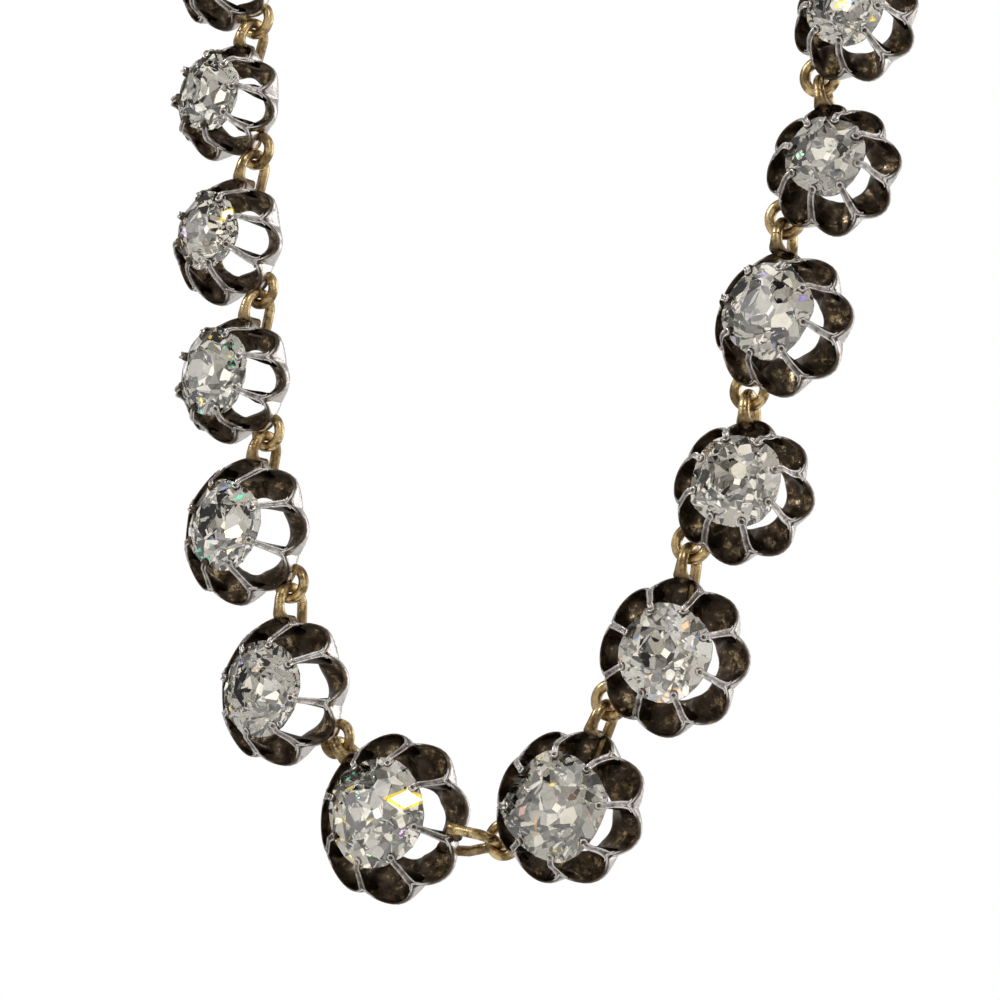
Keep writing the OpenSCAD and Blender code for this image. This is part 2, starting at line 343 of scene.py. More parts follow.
def wallRows(radius, phase, wider):
    # One section: up the scoop from the open back, over the edge and down the outside
    edge = np.abs(np.sin(math.pi * phase)) ** look["edgePower"]
    floor = np.abs(np.sin(math.pi * phase)) ** look["floorPower"]
    rimR, rimZ = rimAt(radius, phase)
    height, base = collet["height"], collet["baseShare"] * radius
    inner = np.abs(np.sin(math.pi * phase)) ** look["innerPower"]
    pinch = 1 - look["openingPinch"] * (1 - inner)
    back = (collet["backShare"] * radius + look["openingOut"] + wider) * pinch
    return [
        (back + 0.12, -height + 0.02),
        (back, -height + 0.3),
        (back + 0.05, -height + look["lip"] + 0.12 * (1 - inner)),
        ((0.68 + 0.01 * (1 - inner)) * radius, -1.35 - 1.22 * (0.5 * inner + 0.5 * floor)),
        ((0.8 - 0.06 * (1 - edge)) * radius, -0.8 - 1.45 * floor),
        (rimR - 0.3 - 0.1 * (1 - edge), -0.5 + (rimZ - 0.4) * floor),
        (rimR - 0.1, rimZ - 0.3),
        (rimR - 0.03, rimZ + 0.02),
        (rimR + 0.05, rimZ - 0.08),
        (rimR + 0.04 + 0.04 * (1 - edge), rimZ - 0.55 - 0.35 * (1 - edge)),
        (0.93 * radius - 0.5 * (1 - edge), -2.35),
        (base + 0.22, -height + 0.35),
        (base, -height),
        (0.5 * (back + base), -height - 0.02),
    ]


def wall(piece, s, radius, columns, rows):
    n = collet["petals"]
    spread = np.arange(columns) / columns
    phases = spread - look["gather"] * np.sin(2 * math.pi * spread) / (2 * math.pi)
    along = np.arange(rows) / rows * len(wallRows(radius, 0.5, 0.0))
    outside = np.clip((along - 7.9) / 1.0, 0, 1) * np.clip((14.2 - along) / 1.5, 0, 1)
    wider, right, high = s["opening"]
    inner = np.clip(1 - np.abs(along - 1.2) / 2.6, 0, 1) + np.clip(along - 13, 0, 1) * 0.5
    shift = inner[:, None] * np.array([right, high, 0.0])
    points, mask = [], []
    for petal in range(n):
        for phase in phases:
            section = spline(wallRows(radius, phase, wider), rows, closed=True)
            angle = s["roll"] + 2 * math.pi * (petal + phase) / n
            points.append(polar(section[:, 0], np.full(rows, angle), section[:, 1]) + shift)
            # Below 0 the mask says how near a point is to the floor of its scoop
            floor = np.clip(1 - np.abs(along - 3.8) / 2.2, 0, 1) * math.sin(math.pi * phase)
            # The mask sinks lowest at the inner lip by the open back, where the silver paints a pale highlight
            lip = np.clip(1 - np.abs(along - 1.2) / 1.0, 0, 1) * 1.6
            mask.append(outside - np.maximum(floor, lip))
    faces = grid((n * columns, rows), True, True)
    piece.add(splay(np.concatenate(points), s), faces, np.concatenate(mask), s)


def clawLine(radius, stone, count):
    # Radius and height along the top of a claw, from its root to its tip over the stone
    seat = stone / 2 + collet["seatGap"]
    lip = collet["girdleRise"] + collet["girdle"] / 2 + collet["seatGap"]
    crown = math.tan(math.radians(collet["crownSlope"]))
    reach = collet["clawReach"]
    cusp = radius - look["cuspInset"]
    line = [
        (cusp + 0.22, -0.3),
        (cusp + 0.03, 0.0),
        (0.5 * (cusp + seat + 0.3), 0.66),
        (seat + 0.34, lip - 0.08),
        (seat + 0.05, lip + 0.3),
        (stone / 2 - reach, lip + 0.06 + reach * crown),
    ]
    return spline(line, count)


def claws(piece, s, radius, detail):
    # A claw is a strap with a raised bright edge on each side and a fin below it
    stone, n = s["stone"], collet["petals"]
    count = 18 if detail else 8
    line = clawLine(radius, stone, count)
    seat, cusp = stone / 2 + collet["seatGap"], radius - look["cuspInset"]
    t = np.linspace(0, 1, count)
    width = np.interp(t, claw["along"], claw["halfWidth"])
    # The fin goes down to the floor at the root and to the girdle at the stone
    half = 0.5 * (seat + cusp)
    depthAt = [seat + 0.06, seat + 0.22, seat + 0.5, half + 0.1, cusp - 0.1, cusp + 0.06, cusp + 0.22]
    below = np.interp(line[:, 0], depthAt, claw["finDepth"])
    feet = np.interp(line[:, 0], [seat + 0.2, half, cusp - 0.1, cusp + 0.1], claw["finFoot"])
    ridge, groove = claw["ridge"], claw["groove"]
    lift = np.gradient(line, axis=0)
    lift = np.stack([-lift[:, 1], lift[:, 0]], -1) / np.linalg.norm(lift, axis=1)[:, None]
    lift *= np.sign(lift[:, 1:2] + 1e-9)
    for i in range(n):
        angle = s["roll"] + 2 * math.pi * i / n
        radial = np.array([math.cos(angle), math.sin(angle), 0])
        across = np.array([-math.sin(angle), math.cos(angle), 0])
        up = np.array([0, 0, 1])
        # Claws that point to the lower left are painted darker: painted shade
        shine = s["clawShine"] * (1 - claw["lowerLeftShade"] * max(0.0, -math.cos(angle - math.pi / 4)))
        points, mask = [], []
        for (r, z), w, depth, foot, (lr, lz) in zip(line, width, below, feet, lift):
            centre, top = radial * r + up * z, radial * lr + up * lz
            inner = max(w - 2 * ridge, 0.02)
            section = [
                (-inner, -groove, 0.62), (-inner - 0.03, 0.0, 0.8), (-w + 0.03, 0.035, 1.0), (-w, -0.03, 0.85),
                (-w + 0.03, -0.16, 0.3), (-foot, -depth, 0.05), (foot, -depth, 0.05), (w - 0.03, -0.16, 0.3),
                (w, -0.03, 0.85), (w - 0.03, 0.035, 1.0), (inner + 0.03, 0.0, 0.8), (inner, -groove, 0.62),
            ]
            for x, y, m in section:
                points.append(centre + across * x + (top * y if y > -0.2 else up * y))
                mask.append(m * shine)
        m = len(section)
        faces = grid((count, m), False, True)
        faces += [tuple(range(m))[::-1], tuple(range((count - 1) * m, count * m))]
        piece.add(splay(points, s), faces, mask, s)
        tip = radial * (line[-1][0] + 0.06) + up * (line[-1][1] - 0.06)
        # Tips that point left on these collets get painted shade and are a little bigger
        shaded = s["darkTips"] and math.cos(angle) < 0.15
        tipSize = claw["tip"] + claw["darkTip"] * shaded
        tipPoints, faces, mask = bead(tip, tipSize, radial, across, 12 if detail else 6)
        mask = mask * (claw["tipShade"] if shaded else 1.0)
        piece.add(tipPoints, faces, mask, s)


def bead(centre, radius, radial, across, count):
    # A flattened drop with a dark pit in its top, as a claw's end is
    slope = math.radians(collet["crownSlope"])
    lean = radial * math.cos(slope) - np.array([0, 0, 1]) * math.sin(slope)
    up = np.cross(across, lean)
    up = up if up[2] > 0 else -up
    profile = [(0.0, 0.12, 0.0), (0.28, 0.16, 0.0), (0.5, 0.42, 0.6), (0.75, 0.48, 0.9), (0.98, 0.2, 0.5),
               (1.0, -0.25, 0.2), (0.8, -0.75, 0.0), (0.0, -0.8, 0.0)]
    points, mask = [], []
    for reach, lift, bright in profile:
        for j in range(count):
            b = 2 * math.pi * j / count
            flat = 1.05 * reach * math.cos(b) * lean + reach * math.sin(b) * across
            points.append(centre + radius * (flat + lift * up))
            mask.append(bright)
    return np.array(points), grid((len(profile), count), False, True), np.array(mask)


def rims(piece, s, radius, detail):
    # A thin bead along each petal's edge, brightest by the claws
    n = collet["petals"]
    count = 24 if detail else 10
    tubeSides = 7 if detail else 5
    for i in range(n):
        phases = np.linspace(0.0, 1.0, count)
        phases = phases - 0.6 * np.sin(2 * math.pi * phases) / (2 * math.pi)
        r, z = rimAt(radius, phases)
        path = polar(r, s["roll"] + 2 * math.pi * (i + phases) / n, z)
        points, faces = tube(path, look["rimRadius"], tubeSides)
        near = np.abs(np.cos(math.pi * phases)) ** 5
        piece.add(splay(points, s), faces, np.repeat(0.22 + 0.75 * near, tubeSides), s)


def buildCollet(piece, s):
    detail = s["front"]
    wall(piece, s, s["petal"], 16 if detail else 8, 34 if detail else 22)
    rims(piece, s, s["petal"], detail)
    claws(piece, s, s["petal"], detail)


# Rings and bails

def unit(v):
    return v / np.linalg.norm(v)


def ringCentre(side, k):
    s, before = stations[side, k], stations[side, k - 1]
    away = before["place"] - s["place"]
    angle = math.atan2(away[2], away[0]) + s["ringTurn"]
    reach = s["petal"] + links["ringOut"]
    return toWorld(s, (reach * math.cos(angle), reach * math.sin(angle), -links["ringDepth"]))


def claspPlace():
    # Centre and direction of the clasp, halfway between the last two stations
    low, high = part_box("clasp")
    a, b = stations["right", frontCount + backCount]["place"], stations["left", frontCount + backCount]["place"]
    return (np.array(low) + np.array(high)) / 2 / mm, unit((b - a) * [1, 0, 1])


def nextRing(side, k):
    if k < frontCount + backCount:
        return ringCentre(side, k + 1)
    centre, along = claspPlace()
    return centre - sides[side] * along * (clasp["length"] / 2 + links["ringOut"])


def buildRing(piece, s, centre, detail):
    # The part that is soldered to a collet keeps inside its wall, so the scoops stay clean
    count = 40 if detail else 20
    a = np.linspace(0, 2 * math.pi, count, endpoint=False)
    path = toOwn(s, centre) + polar(np.full(count, links["ring"]), a, np.zeros(count))
    r, a = np.hypot(path[:, 0], path[:, 1]), np.arctan2(path[:, 1], path[:, 0])
    edge = edgeAt(s, a) - 0.2
    sunk = np.clip((edge - r) / 0.35, 0, 1)
    path = polar(np.maximum(r, edge), a, path[:, 2] - links["sink"] * sunk)
    points, faces = tube(path, links["wire"] * (1 - links["thinned"] * sunk), 12 if detail else 8, closed=True)
    piece.add(points, faces, 1.0, s)


# A bail's foot from its wire to its end: half widths, half thicknesses and brightness; then
# how its rear leg slants as it sags, and how far that of the centre's right bail sags
bailFoot = {
    "wide": [0.38, 0.48, 0.62, 0.66, 0.5], "thick": [0.38, 0.46, 0.42, 0.26, 0.08], "bright": [1.0, 0.6, 0.08],
    "slant": 3.6, "centreSag": 0.25,
}


def buildBail(piece, s, ring, detail, sag=0.0):
    # A long bow through the next ring; sag lets its rear leg hang lower
    own = toOwn(s, ring)
    back = unit(toOwn(s, s["place"] + unit((s["place"] - ring) * [1, 0, 1])))
    end = own + back * (links["ring"] - 2 * links["solidWire"] - links["play"])
    reach, angle = math.hypot(end[0], end[1]), math.atan2(end[1], end[0])
    bow, shoulder = links["bow"], links["shoulder"]
    bowX = reach - bow
    foot = min(edgeAt(s, angle)[0] - 0.15, bowX - 1.5 * shoulder)
    route = [(foot, -0.3), (foot, bow - 1.15 * shoulder), (foot + 0.35 * shoulder, bow - 0.3 * shoulder),
             (foot + 1.15 * shoulder, bow)]
    route += [(bowX + bow * math.cos(a), bow * math.sin(a)) for a in np.linspace(math.pi / 2, -math.pi / 2, 9)]
    route += [(s["petal"] * collet["baseShare"] - 2 * links["wire"], -bow)]
    flat = spline(route, 46 if detail else 20)
    radial = np.array([math.cos(angle), math.sin(angle), 0])
    across = np.array([-math.sin(angle), math.cos(angle), 0])
    slant = np.clip(-flat[:, 1] / bow, 0, 1) * np.clip((bowX - flat[:, 0]) / (bowX - foot), 0, 1)
    slant = bailFoot["slant"] * slant
    path = [radial * r + across * sag * (z - bow - down) + np.array([0, 0, end[2] + z])
            for (r, z), down in zip(flat, slant)]
    tubeSides = 12 if detail else 8
    points, faces = tube(path, links["wire"], tubeSides)
    along = np.linspace(0, 1, len(path))
    bright = np.interp(along, [0, 0.12, 0.26, 0.9, 1], [0.1, 0.3, 1, 1, 0.3])
    piece.add(points, faces, np.repeat(bright, tubeSides), s)
    # Its foot flattens and spreads over the petal's edge
    steps = [(foot + 1.2, bow), (foot + 0.6, bow), (foot + 0.25, bow - 0.08), (foot + 0.04, bow - 0.35),
             (foot - 0.02, bow - 0.75), (foot, bow - 1.2)]
    steps = spline(steps, 14 if detail else 7)
    t = np.linspace(0, 1, len(steps))
    wides = np.interp(t, [0, 0.25, 0.5, 0.75, 1], bailFoot["wide"])
    thicks = np.interp(t, [0, 0.25, 0.5, 0.75, 1], bailFoot["thick"])
    run = np.gradient(steps, axis=0)
    run /= np.linalg.norm(run, axis=1)[:, None]
    count, points = 14 if detail else 8, []
    for (r, z), (dr, dz), wide, thick in zip(steps, run, wides, thicks):
        for j in range(count):
            a = 2 * math.pi * j / count
            u, w = thick * math.cos(a), wide * math.sin(a)
            points.append(radial * (r - dz * u) + across * w + np.array([0, 0, end[2] + z + dr * u]))
    faces = grid((len(steps), count), False, True)
    faces += [tuple(range(count))[::-1], tuple(range((len(steps) - 1) * count, len(steps) * count))]
    piece.add(points, faces, np.repeat(np.interp(t, [0, 0.35, 0.7], bailFoot["bright"]), count), s)


# Stones, cut from a block one plane at a time as a cutter does, so each facet is flat

cut = {
    "table": 0.46, "crown": 35.8, "star": 25.0, "upper": 41.0, "main": 41.0, "lower": 43.5, "culet": 0.12,
    "girdle": 0.24, "starShare": 0.86, "inset": 0.019, "wobble": 1.4, "slip": 0.01,
}
# Turn of the first facet, cushion share, corners as (direction, reach) and painted shade, which darkens the stone's
# body colour
stoneTable = {
    ("right", 0): (-23, 0.02, [(135, 1.05)], 0.34),
    ("right", 1): (9, 0.04, [(180, 1.11), (0, 1.04)], 0.92),
    ("right", 2): (8, 0.02, [(100, 1.03)], 0.0),
    ("right", 3): (30, 0.03, [(200, 1.05)], 0.1),
    ("right", 4): (5, 0.045, [(60, 1.06)], 0.26),
    ("right", 5): (12, 0.04, [(40, 1.06)], 0.92),
    ("right", 6): (18, 0.02, [(120, 1.04)], 0.26),
    ("left", 1): (14, 0.02, [(250, 1.05)], 0.46),
    ("left", 2): (14, 0.03, [(95, 1.04)], 0.0),
    ("left", 3): (26, 0.02, [(80, 1.05)], 0.34),
    ("left", 4): (-17, 0.03, [(100, 1.08)], 0.22),
    ("left", 5): (22, 0.035, [(70, 1.06)], 0.0),
}

# Painted flashes: small kites on the facets that glow in colour, standing in for coloured light thrown back: pixel
# in the photograph, half length and half width in millimetres, turn in degrees, colour and its strength at the
# middle
hues = {
    "yellow": (1.0, 0.68, 0.03), "orange": (1.0, 0.42, 0.08), "pink": (0.9, 0.5, 0.4), "violet": (0.34, 0.24, 0.85),
    "green": (0.05, 0.75, 0.42), "blue": (0.12, 0.35, 0.9), "cream": (0.9, 0.75, 0.5),
}
flashTable = {
    ("right", 0): [((406, 799), 1.5, 0.85, -2, "yellow", 1.1), ((348, 779), 0.3, 0.16, 30, "green", 0.5)],
    ("right", 1): [((527, 812), 0.55, 0.32, 40, "pink", 0.5), ((541, 826), 0.9, 0.14, 80, "orange", 0.3),
                   ((558, 786), 0.3, 0.16, 10, "yellow", 0.6), ((573, 857), 0.3, 0.2, 45, "violet", 0.3)],
    ("right", 2): [((686, 626), 0.5, 0.28, 75, "orange", 0.9), ((640, 640), 0.28, 0.2, 60, "blue", 0.4)],
    ("right", 4): [((802, 298), 0.4, 0.25, 45, "violet", 0.4), ((765, 276), 0.35, 0.25, 20, "violet", 0.4)],
    ("right", 6): [((845, 5), 0.7, 0.4, 30, "yellow", 0.9)],
    ("left", 1): [((230, 709), 0.3, 0.2, 30, "yellow", 0.8), ((245, 663), 0.35, 0.2, 60, "violet", 0.4),
                  ((264, 670), 0.5, 0.3, 20, "cream", 0.5)],
    ("left", 2): [((239, 497), 0.42, 0.26, 30, "green", 0.7), ((224, 488), 0.3, 0.2, 0, "violet", 0.5),
                  ((207, 489), 0.3, 0.2, 60, "yellow", 0.7)],
    ("left", 3): [((240, 385), 0.25, 0.2, 45, "yellow", 0.9), ((203, 401), 0.3, 0.2, 60, "yellow", 0.9),
                  ((197, 411), 0.3, 0.16, 50, "green", 0.7)],
    ("left", 4): [((226, 214), 0.75, 0.55, 60, "yellow", 1.3)],
    ("left", 5): [((233, 108), 0.35, 0.25, 50, "orange", 0.6)],
}


def seenAt(s, pixel, height):
    # The point at a height over a station's plane that the camera sees in a pixel
    azimuth, elevation = math.radians(camera["azimuth"]), math.radians(camera["elevation"])
    level = math.cos(elevation)
    back = np.array([math.sin(azimuth) * level, -math.cos(azimuth) * level, math.sin(elevation)])
    right = np.array([math.cos(azimuth), math.sin(azimuth), 0])
    u, v = ((p / camera["picture"] - 0.5) * camera["sensor"] / camera["lens"] for p in pixel)
    ray = (right * u - np.cross(back, right) * v - back) @ s["axes"]
    start = toOwn(s, np.array(camera["aim"]) + back * camera["distance"])
    return start + ray * (height - start[2]) / ray[2]


def splitFlash(block, x, y, long, wide, turn):
    # Cuts a kite out of the facets round a point and gives its faces
    a = math.radians(turn)
    along, across = Vector((math.cos(a), math.sin(a), 0)), Vector((-math.sin(a), math.cos(a), 0))
    middle, within = Vector((x, y, 0)), []

    def found():
        return [f for f in block.faces if f.normal.z > 0.2
                and all((f.calc_center_median() - p).dot(n) < 0 for p, n in within)]

    for sideA in (1, -1):
        for sideB in (1, -1):
            normal = (along * sideA * wide + across * sideB * long).normalized()
            faces, point = found(), middle + along * sideA * long
            geometry = list({g for f in faces for g in (f, *f.edges, *f.verts)})
            bmesh.ops.bisect_plane(block, geom=geometry, dist=1e-6, plane_co=point, plane_no=normal)
            within.append((point, normal))
    return found()


def flashTint(flashes, code):
    # Odd codes are a painted flash's coloured edge and even ones its lighter middle; both glow
    *_, hue, strength = flashes[(code - 1) // 2]
    if code % 2:
        return (*(min(strength, 0.6) * c for c in hues[hue]), 1.0)
    white = 0.75 if strength >= 1 else 0.1
    return (*(strength * (white + (1 - white) * c) for c in hues[hue]), 0.8)


def buildStone(piece, s, key):
    turn, cushion, corners, shade = stoneTable.get(key, (0, 0.02, [], 0.26))
    luck = random.Random(f"stone {key}")
    radius, middle = s["stone"] / 2, collet["girdleRise"]
    half = cut["girdle"] / 2

    def reach(direction):
        a = math.radians(direction)
        out = radius * (1 + cushion * math.cos(4 * (a - math.radians(turn))) - abs(cushion) * 0.6)
        for towards, share in corners:
            out = max(out, radius * share * math.cos(a - math.radians(towards)))
        return out

    planes = []

    def facet(direction, slope, side, lift=0.0, inset=0.0):
        # A plane through the girdle's edge, or above or below it, tilted by its slope
        direction += luck.uniform(-1, 1) * cut["wobble"]
        a, t = math.radians(direction), math.radians(slope + luck.uniform(-0.5, 0.5) * cut["wobble"])
        normal = Vector((math.sin(t) * math.cos(a), math.sin(t) * math.sin(a), side * math.cos(t)))
        r = reach(direction) - inset * radius + luck.uniform(-1, 1) * cut["slip"] * radius
        planes.append((Vector((r * math.cos(a), r * math.sin(a), middle + side * (half + lift))), normal))

    rise = (1 - cut["table"]) * radius * math.tan(math.radians(cut["crown"]))
    for k in range(24):
        r, a = reach(15 * k + turn), math.radians(15 * k + turn)
        planes.append((Vector((r * math.cos(a), r * math.sin(a), middle)), Vector((math.cos(a), math.sin(a), 0))))
    planes.append((Vector((0, 0, middle + half + rise)), Vector((0, 0, 1))))
    depth = (1 - cut["culet"]) * radius * math.tan(math.radians(cut["main"]))
    planes.append((Vector((0, 0, middle - half - depth)), Vector((0, 0, -1))))
    for k in range(8):
        direction = turn + 45 * k
        facet(direction, cut["crown"], 1)
        facet(direction + 22.5, cut["star"], 1, rise, 1 - cut["table"] * cut["starShare"])
        facet(direction, cut["main"], -1)
        for side in (-1, 1):
            facet(direction + side * 11.25, cut["upper"], 1, 0.0, cut["inset"])
            facet(direction + side * 11.25, cut["lower"], -1, 0.0, cut["inset"])

    block = bmesh.new()
    bmesh.ops.create_cube(block, size=4 * radius)
    for point, normal in planes:
        geometry = block.verts[:] + block.edges[:] + block.faces[:]
        made = bmesh.ops.bisect_plane(block, geom=geometry, plane_co=point, plane_no=normal,
                                      clear_outer=True, dist=1e-5)
        edges = [g for g in made["geom_cut"] if isinstance(g, bmesh.types.BMEdge)]
        if len(edges) > 2:
            bmesh.ops.holes_fill(block, edges=edges, sides=0)
    block.normal_update()
    lit = block.faces.layers.int.new("lit")
    flashes = flashTable.get(key, [])
    for k, (pixel, long, wide, angle, *_) in enumerate(flashes):
        x, y, _ = seenAt(s, pixel, middle + half + 0.4 * rise)
        for longShare, wideShare, code in ((1.0, 1.0, 2 * k + 1), (0.64, 0.82, 2 * k + 2)):
            for face in splitFlash(block, x, y, long * longShare, wide * wideShare, angle):
                face[lit] = code
    for face in block.faces:
        corners = np.array([v.co for v in face.verts])
        n = len(corners)
        tint = flashTint(flashes, face[lit]) if face[lit] else (0.0, 0.0, 0.0, 0.0)
        piece.paint(corners, [tuple(range(n))], [tint] * n, shade, s)
    block.free()


# The clasp

clasp = {"length": 10.0, "width": 4.6, "thickness": 2.6, "round": 0.35}


def buildClasp(piece):
    # A softly rounded box that lies along the chain
    centre, along = claspPlace()
    across = unit(np.cross(along, [0, 1, 0]))
    half = np.array([clasp["length"], clasp["width"], clasp["thickness"]]) / 2
    count, points = 9, []
    edge = clasp["round"]
    levels = [(-half[2], -edge), (-half[2] + edge * 0.3, -edge * 0.3), (-half[2] + edge, 0),
              (half[2] - edge, 0), (half[2] - edge * 0.3, -edge * 0.3), (half[2], -edge)]
    for y, shrink in levels:
        for cx, cy, start in ((1, 1, 0), (-1, 1, 90), (-1, -1, 180), (1, -1, 270)):
            for j in range(count):
                a = math.radians(start + 90 * j / (count - 1))
                x = cx * (half[0] + shrink - edge) + edge * math.cos(a)
                w = cy * (half[1] + shrink - edge) + edge * math.sin(a)
                points.append(centre + along * x + across * w + np.array([0, y, 0]))
    around = 4 * count
    faces = grid((len(levels), around), False, True)
    faces += [tuple(range(around))[::-1], tuple(range((len(levels) - 1) * around, len(levels) * around))]
    piece.add(points, faces, 1.0)


# Materials

def addNode(tree, kind, settings=None, values=None, output=0):
    # Settings first, then the values or links of sockets by name or number
    node = tree.nodes.new(kind)
    for key, value in (settings or {}).items():
        setattr(node, key, value)
    for key, value in (values or {}).items():
        feed(tree, node.inputs[key], value)
    return Socket(tree, node.outputs[output])


def feed(tree, socket, value):
    if isinstance(value, Socket):
        tree.links.new(value.output, socket)
    else:
        socket.default_value = value


class Socket:
    # One output of a node, with the arithmetic that a shader needs

    def __init__(self, tree, output):
        self.tree, self.output = tree, output

    def combine(self, operation, a, b):
        return addNode(self.tree, "ShaderNodeMath", {"operation": operation}, {0: a, 1: b})

    def __add__(self, other):
        return self.combine("ADD", self, other)

    def __radd__(self, other):
        return self.combine("ADD", other, self)

    def __sub__(self, other):
        return self.combine("SUBTRACT", self, other)

    def __rsub__(self, other):
        return self.combine("SUBTRACT", other, self)

    def __mul__(self, other):
        return self.combine("MULTIPLY", self, other)

    def __rmul__(self, other):
        return self.combine("MULTIPLY", other, self)

    def ramp(self, low, high):
        # 0 below low and 1 above high, smooth between
        return addNode(self.tree, "ShaderNodeMapRange", {"interpolation_type": "SMOOTHSTEP"},
                       {"Value": self, "From Min": low, "From Max": high}, "Result")


def mixColours(tree, factor, a, b):
    return addNode(tree, "ShaderNodeMix", {"data_type": "RGBA"}, {0: factor, 6: a, 7: b}, 2)


class Shader:
    # A material with one Principled shader

    def __init__(self, name, values):
        self.material = bpy.data.materials.new(name)
        self.material.use_nodes = True
        self.tree = self.material.node_tree
        for key, value in values.items():
            self.feed(key, value)

    def feed(self, name, value):
        feed(self.tree, self.tree.nodes["Principled BSDF"].inputs[name], value)

    def noise(self, scale, detail=4.0, roughness=0.6):
        # Noise over the piece's own position, which is in metres
        place = addNode(self.tree, "ShaderNodeTexCoord", output="Object")
        values = {"Vector": place, "Scale": scale, "Detail": detail, "Roughness": roughness}
        return addNode(self.tree, "ShaderNodeTexNoise", None, values, "Fac")

    def attribute(self, name, output="Fac"):
        return addNode(self.tree, "ShaderNodeAttribute", {"attribute_name": name}, None, output)

    def mix(self, factor, a, b):
        return mixColours(self.tree, factor, a, b)

    def bump(self, height, strength, distance):
        values = {"Height": height, "Strength": strength, "Distance": distance}
        self.feed("Normal", addNode(self.tree, "ShaderNodeBump", None, values))


def colour(r, g, b):
    return (r, g, b, 1.0)


silver = {
    "bright": colour(0.8, 0.76, 0.73), "dull": colour(0.27, 0.225, 0.2), "dark": colour(0.085, 0.064, 0.046),
    "brown": colour(0.2, 0.145, 0.095), "bronze": colour(0.72, 0.55, 0.32), "pale": colour(0.9, 0.74, 0.5),
}


def silverMaterial():
    # Silver that is bright where it rubs and oxidised brown-black in its scoops, with painted bronze glints in
    # patches, more of them down in the scoops, and a painted pale highlight along the scoops' inner lips
    m = Shader("collet_silver", {"Metallic": 1.0})
    bright = m.attribute("bright")
    low = bright * -1.0
    fine, coarse = m.noise(3000.0, 4.0, 0.6), m.noise(1100.0, 5.0, 0.6)
    worn = (bright + (coarse - 0.5) * 0.7 + (fine - 0.5) * 0.25).ramp(0.35, 0.85)
    blotch = (coarse + low * 0.05).ramp(0.44, 0.66)
    # Bronze patches are painted glints, more of them down in the scoops
    glint = (coarse * 0.55 + fine * 0.45 + low * 0.1).ramp(0.585, 0.68)
    dark = m.mix(blotch, silver["dark"], silver["brown"])
    dark = m.mix(glint, dark, silver["bronze"])
    # A painted pale highlight along the scoops' inner lips
    dark = m.mix((low * 0.7 + fine - 0.5).ramp(0.7, 1.1), dark, silver["pale"])
    smooth = bright.ramp(0.93, 1.0)
    tarnish = (m.noise(1900.0, 5.0, 0.65) - smooth * 0.05).ramp(0.5, 0.68) * (1.0 - smooth * 0.5)
    m.feed("Base Color", m.mix(worn, dark, m.mix(tarnish, silver["bright"], silver["dull"])))
    m.feed("Roughness", 0.34 - worn * 0.08 + blotch * 0.04 - glint * 0.12)
    m.bump(coarse + fine * 0.6, 0.6, 0.0001)
    return m.material


gold = {
    "light": colour(0.86, 0.64, 0.33), "deep": colour(0.3, 0.2, 0.09), "grime": colour(0.04, 0.025, 0.013),
    "foot": colour(0.13, 0.09, 0.05),
}


def goldMaterial():
    m = Shader("gold_wire", {"Metallic": 1.0})
    tone = m.noise(800.0, 4.0).ramp(0.42, 0.58)
    grime = m.noise(1300.0, 5.0, 0.65).ramp(0.48, 0.68)
    bare = (m.attribute("bright") + tone * 0.3 - 0.15).ramp(0.3, 0.9)
    wire = m.mix(grime * 0.85, m.mix(tone, gold["light"], gold["deep"]), gold["grime"])
    m.feed("Base Color", m.mix(bare, gold["foot"], wire))
    m.feed("Roughness", 0.24 + tone * 0.08 + grime * 0.14)
    m.bump(m.noise(2200.0, 3.0), 0.35, 0.00007)
    return m.material


def claspMaterial():
    m = Shader("clasp_silver", {"Metallic": 1.0})
    worn = m.noise(260.0, 6.0, 0.65).ramp(0.4, 0.7)
    m.feed("Base Color", m.mix(worn, silver["bright"], silver["dull"]))
    m.feed("Roughness", 0.24 + worn * 0.2)
    m.bump(m.noise(900.0, 3.0), 0.2, 0.00005)
    return m.material


diamond = {
    "clear": colour(0.99, 0.955, 0.87), "haze": colour(0.87, 0.805, 0.66), "shade": colour(0.62, 0.585, 0.495),
    "index": 2.42,
}


def diamondMaterial():
    m = Shader("diamond", {"Roughness": 0.0, "IOR": diamond["index"], "Transmission Weight": 1.0,
                           "Emission Strength": 1.0})
    haze = m.noise(420.0, 2.0).ramp(0.42, 0.6)
    # Painted flashes tint their facets and glow in colour through emission
    tinted = m.attribute("flash", "Alpha")
    # Each stone's painted shade, carried in the bright attribute, darkens its body colour towards the shade colour
    body = m.mix(m.attribute("bright"), m.mix(haze, diamond["clear"], diamond["haze"]), diamond["shade"])
    m.feed("Base Color", m.mix(tinted, body, m.attribute("flash", "Color")))
    m.feed("Emission Color", m.attribute("flash", "Color"))
    m.bump(m.noise(750.0, 2.0), 0.16, 0.00002)
    return m.material


# Dressing the frame

silverLook, goldLook, claspLook, diamondLook = silverMaterial(), goldMaterial(), claspMaterial(), diamondMaterial()
print("materials ready")

for (side, k), s in stations.items():
    if not s["front"] or (side, k) == ("left", 0):
        continue
    name = "centre" if k == 0 else f"{side}_{k}"
    node = "centre_setting" if k == 0 else f"{side}_setting_{k}"
    piece = Piece(f"collet_{name}")
    buildCollet(piece, s)
    piece.finish(silverLook, "oxidised_silver", [node])
    wires = Piece(f"wires_{name}")
    if k > 0:
        buildRing(wires, s, ringCentre(side, k), True)
    for end in (("right", "left") if k == 0 else (side,)):
        buildBail(wires, s, nextRing(end, k), True, bailFoot["centreSag"] if (k, end) == (0, "right") else 0.0)
    wires.finish(goldLook, "gold_wire")
print("front collets built")

